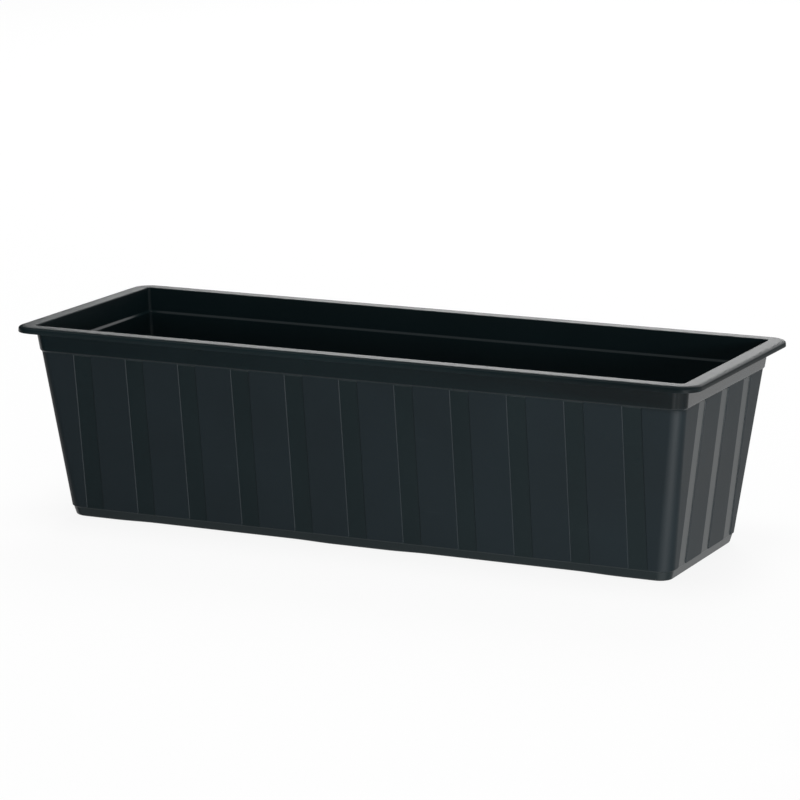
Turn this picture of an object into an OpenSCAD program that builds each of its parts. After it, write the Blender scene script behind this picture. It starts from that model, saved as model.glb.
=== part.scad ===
// Balcony planter: a moulded trough with a flat rim, a plain band and panelled walls, and push-in drain plugs.
// The origin is on the ground under the middle of the trough, +X runs along it, and the front faces -Y.

/* [Rim] */
// Length over the rim
rim_l = 500; // [400:1:800]
// Width over the rim
rim_w = 187; // [150:1:260]
// Height from the ground to the top of the rim
total_h = 137; // [110:1:200]
// How far the rim stands out past the band below it
rim_overhang = 10; // [7:0.5:16]
// Thickness of the flat rim
rim_t = 2.2; // [1.6:0.1:3]
// Height of the rim's downturned lip, from the top of the rim
lip_h = 4; // [3.5:0.1:9]
// Thickness of the lip
lip_t = 2; // [1.5:0.1:4]
// Corner radius of the rim, seen from above
rim_corner_r = 14; // [11:0.5:24]

/* [Walls] */
// Lean of the long walls from upright, in degrees
side_draft = 7.9; // [5:0.1:9]
// Lean of the end walls from upright, in degrees
end_draft = 6.5; // [5:0.1:9]
// Wall thickness behind the raised panels
wall_t = 2.6; // [2.2:0.1:4]
// Wall thickness of the plain band
band_t = 2; // [1.5:0.1:3]
// Height of the plain band, from the top of the rim to the band's lower edge
band_h = 18.8; // [14:0.1:40]
// How far the band stands out past the panels
band_step = 0.8; // [0.4:0.1:1.5]
// How far the ledge inside lies above the band's lower edge
ledge_rise = 2; // [1:0.1:4]
// Outer radius of the upright corners at the rim
corner_r_top = 8.5; // [6:0.1:12]
// Outer radius of the upright corners at the ground
corner_r_base = 10; // [6:0.1:12]

/* [Panels] */
// Width of the sunk flutes between the panels
flute_w = 12.9; // [8:0.1:18]
// How deep the flutes lie below the panels
flute_depth = 0.5; // [0.3:0.1:0.7]
// Distance between flutes on the long walls
side_pitch = 40.4; // [34:0.1:60]
// Distance between flutes on the end walls
end_pitch = 42.5; // [34:0.1:46]
// Radius of the panels' corners
panel_corner_r = 1.5; // [1:0.1:6]
// Height of the slanted edges under the band and under the panels
edge_h = 0.8; // [0.4:0.1:1.5]

/* [Base] */
// Height of the plinth below the panels
plinth_h = 6.5; // [5:0.1:12]
// How far the plinth stands back from the panels
plinth_inset = 0.8; // [0.8:0.1:2]
// Rounding of the plinth's lower edge
base_round = 1.4; // [1:0.1:3]
// Rounding between the floor and the walls inside
floor_round = 4; // [2:0.1:8]
// Thickness of the floor
floor_t = 2.4; // [2:0.1:4]
// Height of the floor's underside above the ground
stand_h = 3; // [2.5:0.1:6]
// Width of the ring that the trough stands on
stand_w = 6; // [5:0.1:10]
// Height of the drain gaps in the standing ring
gap_h = 0.6; // [0.4:0.1:2]
// Length of each end of the ring that stands on the ground
end_foot_l = 34; // [20:1:60]
// Length of the foot at the middle of each long side
middle_foot_l = 40; // [20:1:80]
// Length over which a drain gap rises from a foot
gap_ramp = 30; // [10:1:50]

/* [Drain] */
// Diameter of the drain holes
drain_d = 12; // [8:0.1:20]
// Radial clearance of a plug in its hole
plug_clearance = 0.05; // [0.02:0.01:0.1]
// How far a plug's head reaches past its hole
plug_reach = 4; // [3:0.1:8]
// Thickness of a plug's head
plug_head_t = 2.2; // [1.5:0.1:4]
// How far a plug's shank stands out below the floor
shank_proud = 1.2; // [0.5:0.1:2]
// Depth of the seat sunk into the floor around each hole
seat_depth = 0.8; // [0.4:0.1:1.2]
// Gap round a plug's head in its seat
seat_gap = 1; // [0.5:0.1:3]
// Width of a plug's pull tab
tab_w = 10; // [6:0.1:14]
// Height of a plug's pull tab above its head
tab_h = 7; // [5.5:0.1:12]
// Thickness of a plug's pull tab
tab_t = 2.4; // [1.6:0.1:4]

/* [Hidden] */
drain_count = 4;
corner_steps = 8;
round_steps = 4;
least_corner_r = 0.5;
cut_margin = 1;
$fn = 64;

trough_colour = "#121c1f";
plug_colour = "#151718";

band_z = total_h - band_h;
ledge_z = band_z + ledge_rise;
floor_z = stand_h + floor_t;
seat_z = floor_z - seat_depth;

// Half sizes and corner radius of the band's outside, and of the panels' outside, at height z
function band_hl(z) = rim_l / 2 - rim_overhang - (total_h - z) * tan(end_draft);
function band_hw(z) = rim_w / 2 - rim_overhang - (total_h - z) * tan(side_draft);
function corner_r(z) = corner_r_base + (corner_r_top - corner_r_base) * z / total_h;
function panel_hl(z) = band_hl(z) - band_step;
function panel_hw(z) = band_hw(z) - band_step;

// Points of a rounded rectangle at height z, from its half sizes and corner radius
function ring(hl, hw, corner, z) = [
    for (c = [0:3], s = [0:corner_steps])
        let (
            r = max(corner, least_corner_r),
            a = 90 * (c + s / corner_steps),
            sx = c == 0 || c == 3 ? 1 : -1,
            sy = c < 2 ? 1 : -1
        )
        [sx * (hl - r) + r * cos(a), sy * (hw - r) + r * sin(a), z]
];

// The same, measured inwards from the band's outside or from the panels' outside
function band_ring(inset, z) = ring(band_hl(z) - inset, band_hw(z) - inset, corner_r(z) - inset, z);
function panel_ring(inset, z) = ring(panel_hl(z) - inset, panel_hw(z) - inset, corner_r(z) - inset, z);

// Rings of a quarter round that starts z_base up and ends upright, inset from the panels' outside
function round_rings(inset, radius, z_base) = [
    for (s = [0:round_steps])
        let (a = 90 * s / round_steps)
        panel_ring(inset + radius * (1 - sin(a)), z_base + radius * (1 - cos(a)))
];

flat_end_hw = panel_hw(plinth_h) - corner_r(plinth_h);
flat_side_hl = panel_hl(plinth_h) - corner_r(plinth_h);
flute_half = flute_w / 2 + panel_corner_r;
// Flutes on each side of the middle one, as many as fit between the corners at the plinth
side_flutes = floor((flat_side_hl - flute_half) / side_pitch);
end_flutes = floor((flat_end_hw - flute_half) / end_pitch);

floor_hl = panel_hl(floor_z) - wall_t - floor_round;
drain_pitch = 2 * floor_hl / drain_count;
head_d = drain_d + 2 * plug_reach;

// Solid through a list of rings, from the lowest up
module loft(rings) {
    n = len(rings[0]);
    last = len(rings) - 1;
    sides = [
        for (k = [0:last - 1], i = [0:n - 1])
            [k * n + i, (k + 1) * n + i, (k + 1) * n + (i + 1) % n, k * n + (i + 1) % n]
    ];
    bottom = [for (i = [0:n - 1]) i];
    top = [for (i = [n - 1:-1:0]) last * n + i];
    polyhedron([for (r = rings, p = r) p], concat([bottom], sides, [top]));
}

// Flat rounded rectangle from its half sizes and corner radius
module plate(hl, hw, r) {
    square([2 * hl, 2 * (hw - r)], center = true);
    square([2 * (hl - r), 2 * hw], center = true);
    for (sx = [-1, 1], sy = [-1, 1])
        translate([sx * (hl - r), sy * (hw - r)]) circle(r);
}

// Outside of the walls, from the ground to the rim
module wall_outside() {
    loft(concat(
        round_rings(plinth_inset, base_round, 0),
        [
            panel_ring(plinth_inset, plinth_h),
            panel_ring(0, plinth_h + edge_h),
            panel_ring(0, band_z),
            band_ring(0, band_z + edge_h),
            band_ring(0, total_h - rim_t / 2)
        ]
    ));
}

// Space inside the trough, with the ledge behind the band's lower edge
module wall_inside() {
    loft(concat(
        round_rings(wall_t, floor_round, floor_z),
        [
            panel_ring(wall_t, ledge_z),
            band_ring(band_t, ledge_z + edge_h / 2),
            band_ring(band_t, total_h + cut_margin)
        ]
    ));
}

// Flat rim with its lip turned down along the outer edge
module rim() {
    hl = rim_l / 2;
    hw = rim_w / 2;
    translate([0, 0, total_h - rim_t])
        linear_extrude(rim_t) plate(hl, hw, rim_corner_r);
    translate([0, 0, total_h - lip_h])
        linear_extrude(lip_h) difference() {
            plate(hl, hw, rim_corner_r);
            plate(hl - lip_t, hw - lip_t, rim_corner_r - lip_t);
        }
}

// Outline of one flute that runs up a wall by rise, widening at both ends round the panels' corners
module flute_outline(rise) {
    difference() {
        union() {
            translate([-flute_w / 2, 0]) square([flute_w, rise]);
            for (v = [0, rise - panel_corner_r])
                translate([-flute_half, v]) square([2 * flute_half, panel_corner_r]);
        }
        for (side = [-1, 1], v = [panel_corner_r, rise - panel_corner_r])
            translate([side * flute_half, v]) circle(panel_corner_r);
    }
}

// One wall's flutes, cut into the wall that faces -Y, whose panels lie face_y out at the plinth
module flutes(face_y, draft, pitch, count) {
    rise = (band_z + edge_h / 2 - plinth_h) / cos(draft);
    depth = flute_depth * cos(draft);
    for (k = [-count:count])
        translate([k * pitch, -face_y, plinth_h])
            rotate([90 + draft, 0, 0])
                translate([0, 0, -depth])
                    linear_extrude(depth + cut_margin) flute_outline(rise);
}

// Drain gap under one half of the long sides, between the end foot and the middle foot
module drain_gap() {
    foot_x = panel_hl(0) - plinth_inset - base_round - end_foot_l;
    middle_x = middle_foot_l / 2;
    outline = [
        [middle_x, 0],
        [middle_x, -cut_margin],
        [foot_x, -cut_margin],
        [foot_x, 0],
        [foot_x - gap_ramp, gap_h],
        [middle_x + gap_ramp, gap_h]
    ];
    translate([0, rim_w / 2, 0])
        rotate([90, 0, 0])
            linear_extrude(rim_w) polygon(outline);
}

// Hollow under the floor, inside the standing ring
module under_floor() {
    inset = plinth_inset + base_round + stand_w;
    translate([0, 0, -cut_margin])
        linear_extrude(stand_h + cut_margin)
            plate(panel_hl(0) - inset, panel_hw(0) - inset, corner_r_base);
}

function drain_x(i) = (i - (drain_count - 1) / 2) * drain_pitch;

module drain_hole() {
    cylinder(d = drain_d, h = floor_z + cut_margin);
    translate([0, 0, seat_z])
        cylinder(d = head_d + 2 * seat_gap, h = seat_depth + cut_margin);
}

module trough() {
    color(trough_colour) difference() {
        union() {
            wall_outside();
            rim();
        }
        wall_inside();
        under_floor();
        for (side = [0, 1]) {
            mirror([0, side, 0]) flutes(panel_hw(plinth_h), side_draft, side_pitch, side_flutes);
            mirror([side, 0, 0]) rotate([0, 0, 90]) flutes(panel_hl(plinth_h), end_draft, end_pitch, end_flutes);
            mirror([side, 0, 0]) drain_gap();
        }
        for (i = [0:drain_count - 1]) translate([drain_x(i), 0, 0]) drain_hole();
    }
}

// Upright tab with a round top, standing on z = 0
module pull_tab() {
    straight_h = tab_h - tab_w / 2;
    rotate([90, 0, 0])
        linear_extrude(tab_t, center = true) {
            translate([-tab_w / 2, 0]) square([tab_w, straight_h]);
            intersection() {
                translate([0, straight_h]) circle(d = tab_w);
                translate([-tab_w / 2, 0]) square([tab_w, tab_h]);
            }
        }
}

module drain_plug(i) {
    shank_l = floor_t - seat_depth + shank_proud;
    color(plug_colour) translate([drain_x(i), 0, seat_z]) {
        translate([0, 0, -shank_l]) cylinder(d = drain_d - 2 * plug_clearance, h = shank_l);
        cylinder(d = head_d, h = plug_head_t);
        translate([0, 0, plug_head_t]) pull_tab();
    }
}

trough();
drain_plug(0);  // drain_plug_1
drain_plug(1);  // drain_plug_2
drain_plug(2);  // drain_plug_3
drain_plug(3);  // drain_plug_4
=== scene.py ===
import math

import bmesh
import bpy
from mathutils import Matrix, Vector


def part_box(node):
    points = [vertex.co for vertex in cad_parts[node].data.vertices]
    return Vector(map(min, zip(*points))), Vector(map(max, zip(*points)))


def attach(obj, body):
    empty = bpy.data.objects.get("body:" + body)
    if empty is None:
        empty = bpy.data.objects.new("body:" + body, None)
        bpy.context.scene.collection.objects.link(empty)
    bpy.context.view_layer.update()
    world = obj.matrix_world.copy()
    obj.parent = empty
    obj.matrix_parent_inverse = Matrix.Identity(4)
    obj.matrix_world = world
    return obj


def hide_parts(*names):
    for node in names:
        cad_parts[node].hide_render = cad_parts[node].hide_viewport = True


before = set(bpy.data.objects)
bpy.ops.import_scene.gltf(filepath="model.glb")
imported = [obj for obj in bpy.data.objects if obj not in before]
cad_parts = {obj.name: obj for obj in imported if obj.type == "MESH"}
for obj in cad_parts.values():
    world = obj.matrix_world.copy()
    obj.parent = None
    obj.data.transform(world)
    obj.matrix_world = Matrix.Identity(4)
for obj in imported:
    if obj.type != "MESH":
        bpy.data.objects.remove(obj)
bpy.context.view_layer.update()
rimHalfL, rimHalfW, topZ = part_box("trough")[1]
print("frame loaded:", sorted(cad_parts))


class Wire:
    # one socket of a node tree; sums on wires become Math nodes

    def __init__(self, tree, socket):
        self.tree = tree
        self.socket = socket

    @staticmethod
    def node(tree, kind, settings=None, sockets=None, output=0):
        made = tree.nodes.new(kind)
        for name, value in (settings or {}).items():
            if name == "stops":
                setStops(made.color_ramp, value)
            else:
                setattr(made, name, value)
        for name, value in (sockets or {}).items():
            for one in value if isinstance(value, list) else [value]:
                if isinstance(one, Wire):
                    tree.links.new(one.socket, made.inputs[name])
                else:
                    made.inputs[name].default_value = one
        return Wire(tree, made.outputs[output]) if made.outputs else None

    def other(self, name):  # another output of the same node
        return Wire(self.tree, self.socket.node.outputs[name])

    def math(self, operation, first, second):
        return Wire.node(self.tree, "ShaderNodeMath", {"operation": operation}, {0: first, 1: second})

    def vector(self, operation, second):
        settings = {"operation": operation}
        return Wire.node(self.tree, "ShaderNodeVectorMath", settings, {0: self, 1: second})

    def xyz(self, x, y, z):  # a vector in the same tree
        return Wire.node(self.tree, "ShaderNodeCombineXYZ", None, {"X": x, "Y": y, "Z": z})

    def __add__(self, other):
        return self.math("ADD", self, other)

    def __radd__(self, other):
        return self.math("ADD", other, self)

    def __sub__(self, other):
        return self.math("SUBTRACT", self, other)

    def __rsub__(self, other):
        return self.math("SUBTRACT", other, self)

    def __mul__(self, other):
        return self.math("MULTIPLY", self, other)

    def __rmul__(self, other):
        return self.math("MULTIPLY", other, self)

    def __truediv__(self, other):
        return self.math("DIVIDE", self, other)

    def __rtruediv__(self, other):
        return self.math("DIVIDE", other, self)


def setStops(ramp, stops):
    while len(ramp.elements) < len(stops):
        ramp.elements.new(1.0)
    for element, (place, grey) in zip(ramp.elements, stops):
        element.position = place
        element.color = (grey, grey, grey, 1.0)


def emptyTree(owner):  # the node tree of a new material or world
    owner.use_nodes = True
    owner.node_tree.nodes.clear()
    return owner.node_tree


def linear(red, green, blue):  # a screen colour, 0 to 255, as the shader wants it
    shares = [value / 255 for value in (red, green, blue)]
    return tuple(s / 12.92 if s <= 0.04045 else ((s + 0.055) / 1.055) ** 2.4 for s in shares) + (1.0,)


# Plastics

smoothLook = {
    "dark": linear(10, 22, 25),
    "light": linear(16, 29, 32),
    "scuff": linear(44, 54, 57),
    "clouds": (14.0, 4.0, 0.5),  # scale, detail and roughness of a pattern
    "streaks": (3.0, 5.0, 0.65),
    "grain": (420.0, 2.0, 0.5),
    "waves": (24.0, 1.0, 0.5),   # sink marks and flow of the moulding
    "streakStretch": (9.0, 30.0, 120.0),
    "scuffStops": [(0.62, 0.0), (0.80, 1.0)],
    "scuffShare": 0.35,
    "gloss": 0.30,               # roughness of the clean surface
    "glossSpread": 0.05,
    "scuffRough": 0.16,
    "grainRough": 0.04,
    "grainDepth": 0.000012,
    "waveDepth": 0.00010,
    "refraction": 1.49,
    "specular": 0.50,
}
grainedLook = dict(
    smoothLook,
    dark=linear(7, 20, 25),
    light=linear(12, 27, 33),
    gloss=0.50,
    glossSpread=0.06,
    scuffRough=0.06,
    grain=(1500.0, 2.0, 0.5),
    grainDepth=0.000030,
    waveDepth=0.00006,
    specular=0.46,
)
# the band's smoother finish; its darker colours are painted shade from the rim's overhang
polishedAndShadedLook = dict(
    smoothLook,
    dark=linear(9, 19, 22),
    light=linear(14, 26, 29),
    gloss=0.20,
)
plugLook = dict(
    smoothLook,
    dark=linear(17, 19, 20),
    light=linear(24, 26, 27),
    gloss=0.46,
    grain=(2600.0, 2.0, 0.5),
    grainDepth=0.000016,
    waveDepth=0.00003,
)


def noise(tree, place, scale, detail, roughness):
    sockets = {"Vector": place, "Scale": scale, "Detail": detail, "Roughness": roughness}
    return Wire.node(tree, "ShaderNodeTexNoise", {"noise_dimensions": "3D"}, sockets)


def mouldedPlastic(name, look):
    material = bpy.data.materials.new(name)
    tree = emptyTree(material)
    place = Wire.node(tree, "ShaderNodeTexCoord").other("Object")

    clouds = noise(tree, place, *look["clouds"])
    flow = Wire.node(tree, "ShaderNodeMapping", None, {"Vector": place, "Scale": look["streakStretch"]})
    streaks = noise(tree, flow, *look["streaks"])
    scuffs = Wire.node(tree, "ShaderNodeValToRGB", {"stops": look["scuffStops"]}, {"Fac": streaks})
    scuffs = look["scuffShare"] * scuffs * clouds
    grain = noise(tree, place, *look["grain"])
    waves = noise(tree, place, *look["waves"])

    tint = {"data_type": "RGBA"}  # sockets 6 and 7 are then the two colours, and output 2 their mix
    colour = Wire.node(tree, "ShaderNodeMix", tint, {0: clouds, 6: look["dark"], 7: look["light"]}, 2)
    colour = Wire.node(tree, "ShaderNodeMix", tint, {0: scuffs, 6: colour, 7: look["scuff"]}, 2)
    rough = look["gloss"] + look["glossSpread"] * (clouds - 0.5) + look["scuffRough"] * scuffs
    rough = rough + look["grainRough"] * (grain - 0.5)

    bump = Wire.node(tree, "ShaderNodeBump", None, {
        "Strength": 1.0, "Distance": look["waveDepth"], "Height": waves})
    bump = Wire.node(tree, "ShaderNodeBump", None, {
        "Strength": 1.0, "Distance": look["grainDepth"], "Height": grain, "Normal": bump})
    surface = Wire.node(tree, "ShaderNodeBsdfPrincipled", None, {
        "Base Color": colour, "Roughness": rough, "Normal": bump,
        "IOR": look["refraction"], "Specular IOR Level": look["specular"]})
    Wire.node(tree, "ShaderNodeOutputMaterial", None, {"Surface": surface})
    return material


# Meshes

meshRules = {
    "merge": 1e-7,         # points closer than this are one
    "sliver": 2e-6,        # edges shorter than this are closed up after a cut or a union
    "sharpAngle": 32,      # degrees
}


def addObject(name, data):
    made = bpy.data.objects.new(name, data)
    bpy.context.scene.collection.objects.link(made)
    return made


def newPiece(name, mesh, materials=()):
    for material in materials:
        mesh.materials.append(material)
    return addObject(name, mesh)


def plainMesh(name, bm):
    mesh = bpy.data.meshes.new(name)
    bm.to_mesh(mesh)
    bm.free()
    return mesh


def closedMesh(name, bm, finish=0):
    bmesh.ops.remove_doubles(bm, verts=bm.verts, dist=meshRules["merge"])
    bmesh.ops.recalc_face_normals(bm, faces=bm.faces)
    for face in bm.faces:
        face.material_index = finish
    return plainMesh(name, bm)


def bakeModifiers(piece):  # the modifiers' result becomes the plain mesh of the piece
    graph = bpy.context.evaluated_depsgraph_get()
    mesh = bpy.data.meshes.new_from_object(piece.evaluated_get(graph), depsgraph=graph)
    piece.modifiers.clear()
    piece.data = mesh


def cleanSeam(mesh):
    bm = bmesh.new()
    bm.from_mesh(mesh)
    bmesh.ops.dissolve_degenerate(bm, dist=meshRules["sliver"], edges=bm.edges)
    spare = [v for v in bm.verts if len(v.link_edges) == 2 and all(len(f.verts) > 3 for f in v.link_faces)]
    bmesh.ops.dissolve_verts(bm, verts=spare)  # points along a straight edge
    bm.to_mesh(mesh)
    bm.free()
    if mesh.materials[-1] is None:  # the empty slot that the modifier adds
        mesh.materials.pop()


def combine(piece, tool, operation):
    step = piece.modifiers.new(operation, "BOOLEAN")
    step.operation = operation
    step.solver = "MANIFOLD"
    step.object = tool
    bakeModifiers(piece)
    bpy.data.objects.remove(tool)
    cleanSeam(piece.data)


def smoothShade(piece):
    piece.data.shade_smooth()
    piece.data.set_sharp_from_angle(angle=math.radians(meshRules["sharpAngle"]))
    step = piece.modifiers.new("weighted", "WEIGHTED_NORMAL")
    step.keep_sharp = True
    bakeModifiers(piece)


def bridge(bm, loops):  # faces between each loop of points and the next
    for low, high in zip(loops, loops[1:]):
        for i in range(len(low)):
            j = (i + 1) % len(low)
            bm.faces.new((low[i], low[j], high[j], high[i]))


def skin(bm, rings):  # closed skin through rings of equal length, with flat ends
    loops = [[bm.verts.new(point) for point in ring] for ring in rings]
    bridge(bm, loops)
    bm.faces.new(loops[0])
    bm.faces.new(loops[-1])


def lathe(bm, profile, segments, centre):  # profile points are (radius, height), off the axis
    turns = [2 * math.pi * i / segments for i in range(segments)]
    skin(bm, [[centre + Vector((r * math.cos(a), r * math.sin(a), z)) for a in turns] for r, z in profile])


def softened(corners, steps, most=0.48):  # corners are (point, rounding); each becomes a short curve
    path = [corners[0][0]]
    for k in range(1, len(corners) - 1):
        before, (corner, rounding), after = corners[k - 1][0], corners[k], corners[k + 1][0]
        starts = []
        for neighbour in (before, after):
            away = [n - c for n, c in zip(neighbour, corner)]
            length = math.hypot(away[len(away) // 2 - 1], away[-1])  # in the section of a long wall
            share = min(rounding / length, most)  # so two curves on one side don't meet
            starts.append([c + a * share for c, a in zip(corner, away)])
        for s in range(steps + 1):
            t = s / steps
            mix = [(1 - t) ** 2, 2 * t * (1 - t), t ** 2]
            path.append([sum(m * p[i] for m, p in zip(mix, (starts[0], corner, starts[1])))
                         for i in range(len(corner))])
    path.append(corners[-1][0])
    return path


# Node trees that make rows of small parts

def newTree(name, sizes):
    tree = bpy.data.node_groups.new(name, "GeometryNodeTree")
    inputs = [("Geometry", "Geometry")] + [(size, "Float") for size in sizes]
    inputs += [("Count", "Int"), ("Finish", "Material")]
    for label, kind in inputs:
        tree.interface.new_socket(label, in_out="INPUT", socket_type="NodeSocket" + kind)
    tree.interface.new_socket("Geometry", in_out="OUTPUT", socket_type="NodeSocketGeometry")
    return tree, Wire.node(tree, "NodeGroupInput")


def closeTree(tree, given, rows):  # what comes in and the rows become one mesh of one finish
    joined = Wire.node(tree, "GeometryNodeJoinGeometry", None, {"Geometry": [given] + rows})
    joined = Wire.node(tree, "GeometryNodeRealizeInstances", None, {"Geometry": joined})
    joined = Wire.node(tree, "GeometryNodeSetMaterial", None, {
        "Geometry": joined, "Material": given.other("Finish")})
    Wire.node(tree, "NodeGroupOutput", None, {"Geometry": joined})


def addTree(piece, tree, values):
    step = piece.modifiers.new(tree.name, "NODES")
    step.node_group = tree
    for item in tree.interface.items_tree:
        if item.in_out == "INPUT" and item.name in values:
            step[item.identifier] = values[item.name]


# Trough

wall = {
    "overhang": 0.010,     # rim past the band
    "sideLean": 7.9,       # degrees
    "endLean": 6.5,
    "thick": 0.0026,
    "bandThick": 0.002,
    "bandHeight": 0.0188,  # from the top of the rim
    "bandStep": 0.0008,    # band past the panels
    "bandEdge": 0.0012,    # slant under the band
    "ledgeRise": 0.002,
    "ledgeSlope": 0.0014,  # the inner ledge falls this much towards the soil
    "cornerTop": 0.0085,
    "cornerBase": 0.010,
    "mouthCorner": 0.0042,
    "rimCorner": 0.014,
    "rimThick": 0.0022,
    "rimRound": 0.0034,
    "mouthRound": 0.0008,
    "fineRound": 0.0005,   # small edges and inner corners
    "lipHeight": 0.004,
    "lipThick": 0.002,
    "lipFlare": 0.00015,   # lip's foot past its head
    "floorTop": 0.0054,
    "floorRound": 0.0052,
    "floorFlat": 1.4,      # the floor is flat this many roundings in from the wall
    "floorUnder": 0.003,
    "plinthHeight": 0.0065,
    "plinthInset": 0.0008,
    "plinthLean": 0.0010,  # how much more the plinth's foot is set in than its head
    "baseRound": 0.0016,
    "standWidth": 0.006,
    "gapHeight": 0.0006,   # drain gaps under the long sides
    "endFoot": 0.034,
    "middleFoot": 0.040,
    "gapRamp": 0.030,
    "cornerSteps": 10,
    "sideSteps": 56,
    "endSteps": 14,
    "roundSteps": 4,
}
panel = {
    "flute": 0.0129,       # width of the sunk strip between two panels
    "relief": 0.0005,
    "root": 0.0005,        # how far a panel reaches into the wall behind it
    "sidePitch": 0.0404,
    "endPitch": 0.0425,
    "sideCount": 10,
    "endCount": 2,
    "corner": 0.0015,
    "edge": 0.0005,        # width of the soft slope round a panel
    "footRise": 0.0004,    # panel's lower edge above the plinth
    "tuck": 0.0018,        # panel's upper edge behind the band
    "arcSteps": 6,
    "edgeSteps": 4,
    "cornerRows": 4,
    "merge": 1e-6,
}
grained, polishedAndShaded = 1, 2   # places in the trough's list of finishes, where 0 is smooth
bandZ = topZ - wall["bandHeight"]
panelFootZ = wall["plinthHeight"] + panel["footRise"]
panelHeadZ = bandZ + panel["tuck"]
sideSlope = math.tan(math.radians(wall["sideLean"]))
endSlope = math.tan(math.radians(wall["endLean"]))


def cornerRadius(z):
    return wall["cornerBase"] + (wall["cornerTop"] - wall["cornerBase"]) * z / topZ


def bandRing(inset, z):  # half length, half width, corner radius, height
    inwards = wall["overhang"] + inset
    return [rimHalfL - inwards - (topZ - z) * endSlope,
            rimHalfW - inwards - (topZ - z) * sideSlope,
            cornerRadius(z) - inset, z]


def panelRing(inset, z):
    halfL, halfW, radius, _ = bandRing(inset, z)
    return [halfL - wall["bandStep"], halfW - wall["bandStep"], radius, z]


def rimRing(inset, z):
    return [rimHalfL - inset, rimHalfW - inset, wall["rimCorner"] - inset, z]


def tighter(ring):  # the mouth's inner corners are less round than the outside
    halfL, halfW, radius, z = ring
    return [halfL, halfW, radius - wall["mouthCorner"], z]


def troughProfile():  # from the middle of the floor up the inside, over the rim and down to the ground
    ledgeZ = bandZ + wall["ledgeRise"]
    lipZ = topZ - wall["lipHeight"]
    underRim = topZ - wall["rimThick"]
    standInset = wall["plinthInset"] + wall["baseRound"]
    hollow = panelRing(standInset + wall["standWidth"], 0.0)
    hollow[2] = wall["cornerBase"]  # its corner radius
    hollowTop = hollow[:3] + [wall["floorUnder"]]
    hollowMiddle = [hollow[0] - wall["standWidth"], hollow[1] - wall["standWidth"]] + hollowTop[2:]
    fine = wall["fineRound"]
    return softened([
        (panelRing(wall["thick"] + wall["floorFlat"] * wall["floorRound"], wall["floorTop"]), 0.0),
        (panelRing(wall["thick"], wall["floorTop"]), wall["floorRound"]),
        (tighter(panelRing(wall["thick"], ledgeZ - wall["ledgeSlope"] / 2)), fine),
        (tighter(bandRing(wall["bandThick"], ledgeZ + wall["ledgeSlope"] / 2)), fine),
        (tighter(bandRing(wall["bandThick"], topZ)), wall["mouthRound"]),
        (rimRing(wall["lipFlare"], topZ), wall["rimRound"]),
        (rimRing(0.0, lipZ), fine / 4),
        (rimRing(wall["lipThick"], lipZ), fine / 4),
        (rimRing(wall["lipThick"], underRim), fine),
        (bandRing(0.0, underRim), 2 * fine),
        (bandRing(0.0, bandZ + wall["bandEdge"]), fine),
        (panelRing(panel["relief"], bandZ - wall["bandEdge"] / 4), fine / 2),
        (panelRing(panel["relief"], wall["plinthHeight"] + fine), fine / 2),
        (panelRing(wall["plinthInset"], wall["plinthHeight"]), fine / 2),
        (panelRing(wall["plinthInset"] + wall["plinthLean"], 0.0), wall["baseRound"]),
        (hollow, fine),
        (hollowTop, fine),
        (hollowMiddle, 0.0),
    ], wall["roundSteps"])


def drainGap(x):  # how far the standing ring is lifted off the ground
    footX = panelRing(wall["plinthInset"] + wall["baseRound"], 0.0)[0] - wall["endFoot"]
    rise = min(abs(x) - wall["middleFoot"] / 2, footX - abs(x)) / wall["gapRamp"]
    share = min(max(rise, 0.0), 1.0)
    return wall["gapHeight"] * share * share * (3 - 2 * share)  # eases in and out


def ringPoints(station):
    halfL, halfW, radius, z = station
    points = []
    straightL, straightW = halfL - radius, halfW - radius
    back, left = Vector((-2 * straightL, 0.0)), Vector((0.0, -2 * straightW))
    sides = [(1, 1, back, wall["sideSteps"]), (-1, 1, left, wall["endSteps"]),
             (-1, -1, -back, wall["sideSteps"]), (1, -1, -left, wall["endSteps"])]
    for c, (sx, sy, along, steps) in enumerate(sides):
        centre = Vector((sx * straightL, sy * straightW))
        for s in range(wall["cornerSteps"] + 1):
            a = math.pi / 2 * (c + s / wall["cornerSteps"])
            points.append(centre + radius * Vector((math.cos(a), math.sin(a))))
        last = points[-1]
        points += [last + along * s / steps for s in range(1, steps)]
    nearGround = max(0.0, 1 - z / wall["floorUnder"])
    return [Vector((p.x, p.y, z + nearGround * drainGap(p.x))) for p in points]


def wallMoulding(materials):
    bm = bmesh.new()
    skin(bm, [ringPoints(station) for station in troughProfile()])
    mesh = closedMesh("trough_moulding", bm)
    lowest, highest = bandZ + wall["bandEdge"] / 2, topZ - wall["lipHeight"]
    for face in mesh.polygons:  # the outside of the band is polished; its darker colour is painted shade from the rim above
        outward = face.normal.xy.dot(face.center.xy) > 0
        if outward and lowest < face.center.z < highest:
            face.material_index = polishedAndShaded
    return newPiece("trough_moulding", mesh, materials)


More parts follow.
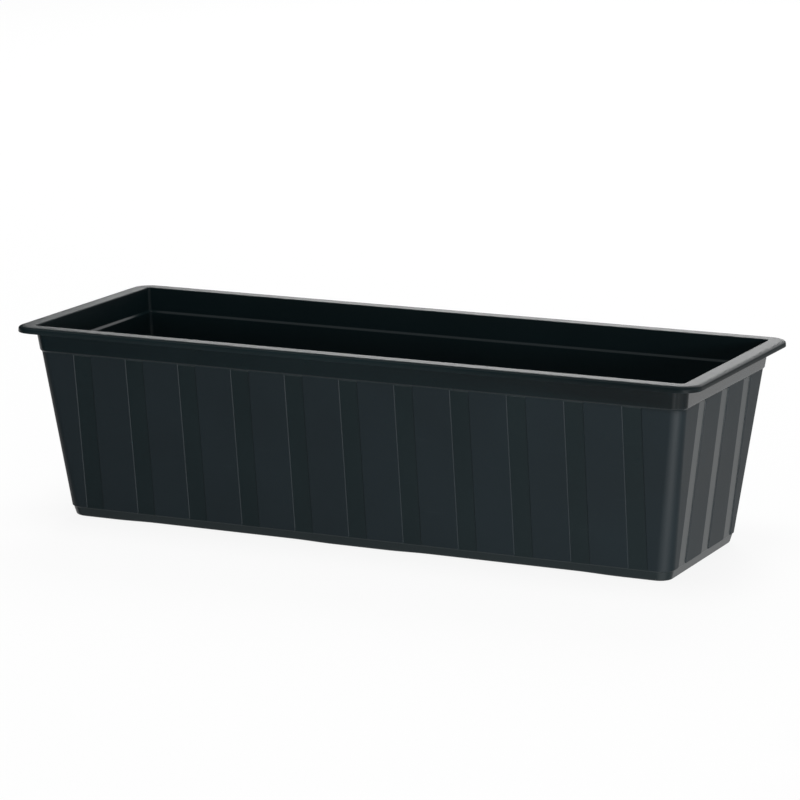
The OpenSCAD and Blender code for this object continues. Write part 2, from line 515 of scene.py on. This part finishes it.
def cornerPanel(bm, sx, sy):  # the panel that wraps one upright corner of the trough
    edgeX = panel["sidePitch"] * panel["sideCount"] / 2 + panel["flute"] / 2
    edgeY = panel["endPitch"] * panel["endCount"] / 2 + panel["flute"] / 2
    arcSteps, rows = panel["arcSteps"], panel["cornerRows"]

    def onWall(q, z, height):  # q runs from the flute on the long wall to the one on the end wall
        halfL, halfW, radius, _ = panelRing(0.0, z)
        flat = halfL - radius - edgeX
        bend = radius * math.pi / 2
        if q <= flat:
            x, y = edgeX + q, halfW + height
        elif q < flat + bend:
            a = (q - flat) / radius
            x = halfL - radius + (radius + height) * math.sin(a)
            y = halfW - radius + (radius + height) * math.cos(a)
        else:
            x, y = halfL + height, halfW - radius - (q - flat - bend)
        return Vector((sx * x, sy * y, z))

    def widths(z):  # of the long wall's part, the bend and the end wall's part
        halfL, halfW, radius, _ = panelRing(0.0, z)
        flatL, flatW = halfL - radius - edgeX, halfW - radius - edgeY
        return flatL, radius * math.pi / 2, flatW

    def columns(inset):  # for each column: how q follows from z, and how far its ends are drawn in
        rounding = panel["corner"] - inset
        bends = [math.pi / 2 * s / arcSteps for s in range(arcSteps + 1)]
        ends = [(inset + rounding * (1 - math.cos(a)), inset + rounding * (1 - math.sin(a))) for a in bends]
        made = [(lambda z, near=near: near, drop) for near, drop in ends]
        for s in range(2 * arcSteps + 1):
            t = s / (2 * arcSteps)
            made.append((lambda z, t=t: widths(z)[0] + t * widths(z)[1], inset))
        made += [(lambda z, near=near: sum(widths(z)) - near, drop) for near, drop in reversed(ends)]
        return made

    def sheet(inset, height):
        grid = []
        for r in range(rows + 1):
            line = []
            for place, drop in columns(inset):
                z = panelFootZ + drop + (panelHeadZ - panelFootZ - 2 * drop) * r / rows
                line.append(onWall(place(z), z, height))
            grid.append(line)
        return grid

    def rimOf(grid):
        return (grid[0] + [line[-1] for line in grid[1:-1]] + grid[-1][::-1]
                + [line[0] for line in grid[-2:0:-1]])

    levels = []
    for s in range(panel["edgeSteps"] + 1):
        t = s / panel["edgeSteps"]
        levels.append((panel["edge"] * (1 - t), -panel["relief"] * t * t))
    levels.append((0.0, -panel["relief"] - panel["root"]))
    for level in (levels[0], levels[-1]):  # the face of the panel and its back
        verts = [[bm.verts.new(p) for p in line] for line in sheet(*level)]
        for low, high in zip(verts, verts[1:]):
            for i in range(len(low) - 1):
                bm.faces.new((low[i], low[i + 1], high[i + 1], high[i]))
    bridge(bm, [[bm.verts.new(p) for p in rimOf(sheet(*level))] for level in levels])


def panelRowTree():  # a row of raised panels along one wall
    sizes = ("Width", "Height", "Corner", "Edge", "Relief", "Root", "Pitch", "Lean", "Out", "Up", "Turn")
    tree, given = newTree("panelRow", sizes)
    width, height, corner, edge, relief, root, pitch, lean, out, up, turn = [given.other(n) for n in sizes]
    count = given.other("Count")
    xyz = given.xyz

    outline = Wire.node(tree, "GeometryNodeCurvePrimitiveQuadrilateral", {"mode": "RECTANGLE"}, {
        "Width": width, "Height": height})
    outline = Wire.node(tree, "GeometryNodeFilletCurve", {"mode": "POLY"}, {
        "Curve": outline, "Count": panel["arcSteps"], "Radius": corner})
    back = Wire.node(tree, "GeometryNodeFillCurve", {"mode": "NGONS"}, {"Curve": outline})
    plate = Wire.node(tree, "GeometryNodeExtrudeMesh", {"mode": "FACES"}, {
        "Mesh": back, "Offset": xyz(0.0, 0.0, root), "Individual": False})
    top = plate.other("Top")
    position = Wire.node(tree, "GeometryNodeInputPosition")
    arcCentre = position.vector("SIGN", (0, 0, 0)).vector(
        "MULTIPLY", xyz(0.5 * width - corner, 0.5 * height - corner, 0.0))
    fromCentre = position.vector("SUBTRACT", arcCentre)
    steps = panel["edgeSteps"]
    for s in range(steps):  # the slope flattens towards the face of the panel
        rise = ((1 - s / steps) ** 2 - (1 - (s + 1) / steps) ** 2) * relief
        plate = Wire.node(tree, "GeometryNodeExtrudeMesh", {"mode": "FACES"}, {
            "Mesh": plate, "Selection": top, "Individual": False, "Offset": xyz(0.0, 0.0, rise)})
        top = plate.other("Top")
        share = edge / steps / (corner - edge * (s / steps))
        moved = fromCentre.vector("MULTIPLY", xyz(0.0 - share, 0.0 - share, 0.0))
        plate = Wire.node(tree, "GeometryNodeSetPosition", None, {
            "Geometry": plate, "Selection": top, "Offset": moved})
    flipped = Wire.node(tree, "GeometryNodeFlipFaces", None, {"Mesh": back})
    plate = Wire.node(tree, "GeometryNodeJoinGeometry", None, {"Geometry": [plate, flipped]})
    plate = Wire.node(tree, "GeometryNodeMergeByDistance", None, {
        "Geometry": plate, "Distance": panel["merge"]})
    depth = 0.0 - (root + relief)
    plate = Wire.node(tree, "GeometryNodeTransform", None, {
        "Geometry": plate, "Translation": xyz(0.0, 0.5 * height, depth)})
    plate = Wire.node(tree, "GeometryNodeTransform", None, {
        "Geometry": plate, "Rotation": xyz(lean + math.pi / 2, 0.0, 0.0)})
    first = (1 - count) * pitch * 0.5
    line = Wire.node(tree, "GeometryNodeMeshLine", {"mode": "OFFSET"}, {
        "Count": count, "Start Location": xyz(first, 0.0 - out, up), "Offset": xyz(pitch, 0.0, 0.0)})
    row = Wire.node(tree, "GeometryNodeInstanceOnPoints", None, {"Points": line, "Instance": plate})
    row = Wire.node(tree, "GeometryNodeTransform", None, {"Geometry": row, "Rotation": xyz(0.0, 0.0, turn)})
    closeTree(tree, given, [row])
    return tree


def wallPanels(materials):
    bm = bmesh.new()
    for sx in (-1, 1):
        for sy in (-1, 1):
            cornerPanel(bm, sx, sy)
    panels = newPiece("wallPanels", closedMesh("wallPanels", bm, grained), materials)
    tree = panelRowTree()
    footL, footW, _, _ = panelRing(0.0, panelFootZ)
    for quarter in range(4):  # front, right end, back, left end
        kind, out = ("end", footL) if quarter % 2 else ("side", footW)
        lean = math.radians(wall[kind + "Lean"])
        pitch = panel[kind + "Pitch"]
        addTree(panels, tree, {
            "Width": pitch - panel["flute"], "Height": (panelHeadZ - panelFootZ) / math.cos(lean),
            "Corner": panel["corner"], "Edge": panel["edge"], "Relief": panel["relief"],
            "Root": panel["root"], "Pitch": pitch, "Lean": lean, "Out": out, "Up": panelFootZ,
            "Turn": quarter * math.pi / 2, "Count": panel[kind + "Count"], "Finish": materials[grained]})
    bakeModifiers(panels)
    return panels


drain = {
    "hole": 0.006,         # radius
    "seat": 0.011,
    "seatDepth": 0.0008,
    "chamfer": 0.0004,
    "over": 0.002,         # the cutter's reach past the floor
    "segments": 64,
}
seatZ = wall["floorTop"] - drain["seatDepth"]
plugNodes = sorted(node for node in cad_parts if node.startswith("drain_plug"))


def plugCentre(node):
    low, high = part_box(node)
    return Vector(((low.x + high.x) / 2, (low.y + high.y) / 2, 0.0))


def drainCutter():
    top, under = wall["floorTop"], wall["floorUnder"]
    cut, hole, seat = drain["chamfer"], drain["hole"], drain["seat"]
    profile = [
        (hole + cut, under - drain["over"]), (hole + cut, under), (hole, under + cut),
        (hole, seatZ - cut), (hole + cut, seatZ), (seat, seatZ),
        (seat, top - cut), (seat + cut, top), (seat + cut, top + drain["over"]),
    ]
    bm = bmesh.new()
    for node in plugNodes:
        lathe(bm, profile, drain["segments"], plugCentre(node))
    return newPiece("drainCutter", closedMesh("drainCutter", bm))


def buildTrough():
    materials = [mouldedPlastic("smoothPlastic", smoothLook),
                 mouldedPlastic("grainedPlastic", grainedLook),
                 mouldedPlastic("polishedAndShadedPlastic", polishedAndShadedLook)]
    trough = wallMoulding(materials)
    combine(trough, wallPanels(materials), "UNION")
    combine(trough, drainCutter(), "DIFFERENCE")
    smoothShade(trough)
    print("trough:", len(trough.data.polygons), "faces,", len(trough.data.materials), "finishes")
    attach(trough, "trough")
    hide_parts("trough")


# Plugs

plugSizes = {
    "shank": 0.00595,
    "shankLength": 0.0028,
    "head": 0.010,
    "headThick": 0.0022,
    "headRound": 0.0007,
    "seatRound": 0.0001,   # between the shank and the head
    "axisGap": 0.0001,     # radius of the small flat in the middle of the head and the shank
    "groove": 0.0072,      # radius of the ring pressed into the head
    "grooveDepth": 0.0003,
    "roundSteps": 4,
    "segments": 64,
    "tabWidth": 0.010,
    "tabHeight": 0.007,
    "tabThick": 0.002,
    "tabSink": 0.0003,     # how far the tab reaches into the head
    "tabRound": 0.0005,
    "tabBevel": 3,         # steps across a rounded edge
    "tabSteps": 36,        # round the tab's arch
    "tabSharp": 60,        # degrees; edges that turn more than this are rounded
    "ribCount": 4,
    "ribPitch": 0.0012,
    "ribLength": 0.0064,
    "ribRadius": 0.0004,
    "ribSegments": 16,
    "ribRings": 12,
}
headZ = seatZ + plugSizes["headThick"]


def gripRibTree():  # a ladder of small round ribs on both faces of a pull tab
    sizes = ("Length", "Radius", "Pitch", "Face", "Up")
    tree, given = newTree("gripRibs", sizes)
    length, radius, pitch, face, up = [given.other(name) for name in sizes]
    xyz = given.xyz

    rib = Wire.node(tree, "GeometryNodeMeshUVSphere", None, {
        "Segments": plugSizes["ribSegments"], "Rings": plugSizes["ribRings"], "Radius": radius})
    position = Wire.node(tree, "GeometryNodeInputPosition")
    end = position.vector("SIGN", (0, 0, 0)).vector("MULTIPLY", xyz(0.0, 0.0, 0.5 * length - radius))
    rib = Wire.node(tree, "GeometryNodeSetPosition", None, {"Geometry": rib, "Offset": end})
    rib = Wire.node(tree, "GeometryNodeTransform", None, {
        "Geometry": rib, "Rotation": (0.0, math.pi / 2, 0.0)})
    sides = []
    for side in (-1, 1):
        line = Wire.node(tree, "GeometryNodeMeshLine", {"mode": "OFFSET"}, {
            "Count": given.other("Count"), "Start Location": xyz(0.0, side * face, up),
            "Offset": xyz(0.0, 0.0, pitch)})
        sides.append(Wire.node(tree, "GeometryNodeInstanceOnPoints", None, {"Points": line, "Instance": rib}))
    closeTree(tree, given, sides)
    return tree


def plugHead(centre):
    size = plugSizes
    footZ = seatZ - size["shankLength"]
    soft, groove, deep = size["headRound"], size["groove"], size["grooveDepth"]
    corners = [
        ((size["axisGap"], footZ), 0.0),
        ((size["shank"], footZ), soft),
        ((size["shank"], seatZ), size["seatRound"]),
        ((size["head"], seatZ), soft / 2),
        ((size["head"], headZ), soft),
        ((groove + deep, headZ), deep / 2),
        ((groove, headZ - deep), deep),
        ((groove - deep, headZ), deep / 2),
        ((size["axisGap"], headZ), 0.0),
    ]
    bm = bmesh.new()
    lathe(bm, softened(corners, size["roundSteps"]), size["segments"], centre)
    return closedMesh("plugHead", bm)


def plugTab(centre, material, tree):
    size = plugSizes
    half, halfThick = size["tabWidth"] / 2, size["tabThick"] / 2
    straight = size["tabHeight"] - half
    outline = [(-half, -size["tabSink"]), (half, -size["tabSink"])]
    for s in range(size["tabSteps"] + 1):
        a = math.pi * s / size["tabSteps"]
        outline.append((half * math.cos(a), straight + half * math.sin(a)))
    bm = bmesh.new()
    skin(bm, [[Vector((x, y, z)) for x, z in outline] for y in (-halfThick, halfThick)])
    bmesh.ops.recalc_face_normals(bm, faces=bm.faces)
    sharp = [e for e in bm.edges if e.calc_face_angle() > math.radians(size["tabSharp"])]
    bmesh.ops.bevel(bm, geom=sharp, offset=size["tabRound"], segments=size["tabBevel"],
                    profile=0.5, affect="EDGES")
    tab = newPiece("plugTab", closedMesh("plugTab", bm), [material])
    ribs = newPiece("gripRibs", bpy.data.meshes.new("gripRibs"))
    ribSpan = (size["ribCount"] - 1) * size["ribPitch"]
    addTree(ribs, tree, {
        "Length": size["ribLength"], "Radius": size["ribRadius"], "Pitch": size["ribPitch"],
        "Face": halfThick - size["ribRadius"] / 2, "Up": (size["tabHeight"] - ribSpan) / 2,
        "Count": size["ribCount"], "Finish": material})
    bakeModifiers(ribs)
    combine(tab, ribs, "UNION")
    tab.data.transform(Matrix.Translation(centre + Vector((0.0, 0.0, headZ))))
    return tab


def buildPlugs():
    material = mouldedPlastic("plugPlastic", plugLook)
    tree = gripRibTree()
    for node in plugNodes:
        body = "plug_" + node.rsplit("_", 1)[1]
        centre = plugCentre(node)
        plug = newPiece(body, plugHead(centre), [material])
        combine(plug, plugTab(centre, material, tree), "UNION")
        smoothShade(plug)
        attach(plug, body)
        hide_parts(node)
    print("plugs:", len(plugNodes))


# Studio

studio = {
    "floorHalf": 9.0,
    "floorCells": 4,
    "floorColour": (0.90, 0.90, 0.90, 1.0),
    "floorWhite": 0.89,    # share of the floor that is seen as plain white
    "white": (1.0, 1.0, 1.0, 1.0),
    "black": (0.0, 0.0, 0.0, 1.0),
    "ambient": 0.38,       # light of the room
    "lamps": {             # power, width, height, place, whether reflections show it
        "keyBox": (58.0, 2.2, 2.2, (-0.7, 2.8, 2.4), False),
        "topBox": (37.0, 1.6, 1.6, (0.0, -0.2, 3.0), False),
        "frontBox": (17.0, 0.9, 0.25, (1.55, -2.05, 0.41), False),
        "rimStrip": (7.8, 2.1, 0.35, (-1.34, 3.67, 0.97), True),
        "fillStrip": (20.0, 0.45, 0.03, (1.25, -1.20, 0.022), True),
    },
    "flag": {              # white card that keeps the fill strip off the corner of the rim; it glows as painted light, so reflections show it bright rather than as a dark bar
        "width": 0.16,
        "thick": 0.001,
        "height": 0.026,
        "place": (0.437, -0.302, 0.112),
        "turn": 42.2,      # degrees
        "glow": 3.0,
    },
    "tentRadius": 6.0,
    "tentSegments": 48,
    "tentRings": 24,
    "cards": {             # azimuth, elevation, degrees to its full and its outer edge, darkness
        "ceiling": (0.0, 90.0, 96.0, 106.0, 0.85),
        "leftDrape": (-75.0, 5.0, 42.0, 100.0, 0.97),
        "leftWindow": (-115.0, -30.0, 20.0, 36.0, 0.35),
        "frontDrape": (-30.0, 28.0, 26.0, 52.0, 1.0),
        "rightCard": (109.0, -14.0, 12.0, 56.0, 0.70),
        "rightFloor": (150.0, -60.0, 20.0, 42.0, 0.60),
        "rearFloor": (195.0, -20.0, 10.0, 29.0, 0.60),
        # the next two cards are painted shadow of the object on the floor, as reflections see it
        "floorShadowNear": (28.0, -28.0, 5.0, 17.0, 0.56),
        "floorShadowFar": (60.0, -27.0, 6.0, 18.0, 0.56),
        "overhead": (-70.0, 65.0, 14.0, 34.0, 0.70),
        "frontSheen": (-24.0, -8.0, 4.5, 16.0, 0.75),
        "plinthLight": (-47.0, -46.0, 6.0, 17.0, 0.57),
        "ledgeLight": (171.0, 30.0, 10.0, 24.0, 0.0),
    },
}
lens = {
    "place": (1.0543, -2.2702, 0.6159),
    "azimuth": 24.882,     # degrees round from the front
    "elevation": 11.868,
    "focal": 168.293,      # millimetres
    "sensor": 36.0,
}


def hideFrom(thing, *rays):
    for ray in rays:
        setattr(thing, "visible_" + ray, False)


def seenDirectly(tree):  # 1 for what the camera, a reflection or glass shows
    ray = Wire.node(tree, "ShaderNodeLightPath").other
    seen = ray("Is Camera Ray") + ray("Is Glossy Ray") + ray("Is Transmission Ray")
    return seen.math("MINIMUM", seen, 1.0)


def buildFloor():
    bm = bmesh.new()
    cells = studio["floorCells"]
    bmesh.ops.create_grid(bm, x_segments=cells, y_segments=cells, size=studio["floorHalf"])
    material = bpy.data.materials.new("palePaper")
    tree = emptyTree(material)
    paper = Wire.node(tree, "ShaderNodeBsdfDiffuse", None, {"Color": studio["floorColour"]})
    white = Wire.node(tree, "ShaderNodeEmission", None, {"Color": studio["white"], "Strength": 1.0})
    surface = Wire.node(tree, "ShaderNodeMixShader", None, {
        0: studio["floorWhite"] * seenDirectly(tree), 1: paper, 2: white})
    Wire.node(tree, "ShaderNodeOutputMaterial", None, {"Surface": surface})
    floor = newPiece("studioFloor", plainMesh("studioFloor", bm), [material])
    hideFrom(floor, "glossy")  # reflections show the room and its cards


def towards(azimuth, elevation):  # unit vector, azimuth 0 is the front
    a, e = math.radians(azimuth), math.radians(elevation)
    return Vector((math.sin(a) * math.cos(e), -math.cos(a) * math.cos(e), math.sin(e)))


def buildTent():  # soft dark cards round the object, which only its reflections show; they are painted shade and, where lighter, painted light in the reflections
    bm = bmesh.new()
    bmesh.ops.create_uvsphere(bm, u_segments=studio["tentSegments"], v_segments=studio["tentRings"],
                              radius=studio["tentRadius"])
    material = bpy.data.materials.new("softCards")
    tree = emptyTree(material)
    side = Wire.node(tree, "ShaderNodeTexCoord").other("Object").vector("NORMALIZE", (0, 0, 0))
    shade = 0.0
    for azimuth, elevation, full, outer, darkness in studio["cards"].values():
        near = side.vector("DOT_PRODUCT", tuple(towards(azimuth, elevation))).other("Value")
        cover = Wire.node(tree, "ShaderNodeMapRange", {"interpolation_type": "SMOOTHSTEP"}, {
            "Value": near, "From Min": math.cos(math.radians(outer)),
            "From Max": math.cos(math.radians(full))})
        shade = shade + cover * (darkness - shade)  # each card covers those before it
    clear = Wire.node(tree, "ShaderNodeBsdfTransparent")
    black = Wire.node(tree, "ShaderNodeBsdfDiffuse", None, {"Color": studio["black"]})
    surface = Wire.node(tree, "ShaderNodeMixShader", None, {0: shade, 1: clear, 2: black})
    Wire.node(tree, "ShaderNodeOutputMaterial", None, {"Surface": surface})
    tent = newPiece("studioTent", plainMesh("studioTent", bm), [material])
    hideFrom(tent, "camera", "diffuse", "transmission", "shadow")


def buildFlag():
    flag = studio["flag"]
    bm = bmesh.new()
    shape = Matrix.Translation(flag["place"]) @ Matrix.Rotation(math.radians(flag["turn"]), 4, "Z")
    shape = shape @ Matrix.Diagonal((flag["width"], flag["thick"], flag["height"], 1.0))
    bmesh.ops.create_cube(bm, size=1.0, matrix=shape)
    material = bpy.data.materials.new("glowingCard")
    tree = emptyTree(material)
    # the card glows though it is no lamp: painted light that only reflections show
    white = Wire.node(tree, "ShaderNodeEmission", None, {"Color": studio["white"], "Strength": flag["glow"]})
    Wire.node(tree, "ShaderNodeOutputMaterial", None, {"Surface": white})
    card = newPiece("studioFlag", plainMesh("studioFlag", bm), [material])
    hideFrom(card, "camera", "diffuse", "transmission")


def buildWorld():
    world = bpy.data.worlds.new("studioRoom")
    bpy.context.scene.world = world
    tree = emptyTree(world)
    strength = studio["ambient"] + (1 - studio["ambient"]) * seenDirectly(tree)
    light = Wire.node(tree, "ShaderNodeBackground", None, {"Color": studio["white"], "Strength": strength})
    Wire.node(tree, "ShaderNodeOutputWorld", None, {"Surface": light})
    world.cycles.sampling_method = "NONE"  # so the cards shade rough reflections too


def buildLights():
    for name, (power, width, height, place, mirrored) in studio["lamps"].items():
        lamp = bpy.data.lights.new(name, "AREA")
        lamp.shape = "ELLIPSE"
        lamp.size = width
        lamp.size_y = height
        lamp.energy = power
        box = addObject(name, lamp)
        box.location = place
        box.rotation_euler = (-Vector(place)).to_track_quat("-Z", "Y").to_euler()
        box.visible_camera = False
        box.visible_glossy = mirrored


def buildCamera():
    data = bpy.data.cameras.new("photoCamera")
    data.sensor_fit = "HORIZONTAL"
    data.sensor_width = lens["sensor"]
    data.lens = lens["focal"]
    camera = addObject("photoCamera", data)
    camera.location = lens["place"]
    camera.rotation_euler = (math.radians(90 - lens["elevation"]), 0.0, math.radians(lens["azimuth"]))
    bpy.context.scene.camera = camera


buildCamera()
buildTrough()
buildPlugs()
buildFloor()
buildTent()
buildFlag()
buildWorld()
buildLights()
bpy.context.scene.view_settings.view_transform = "Standard"
print("studio ready")
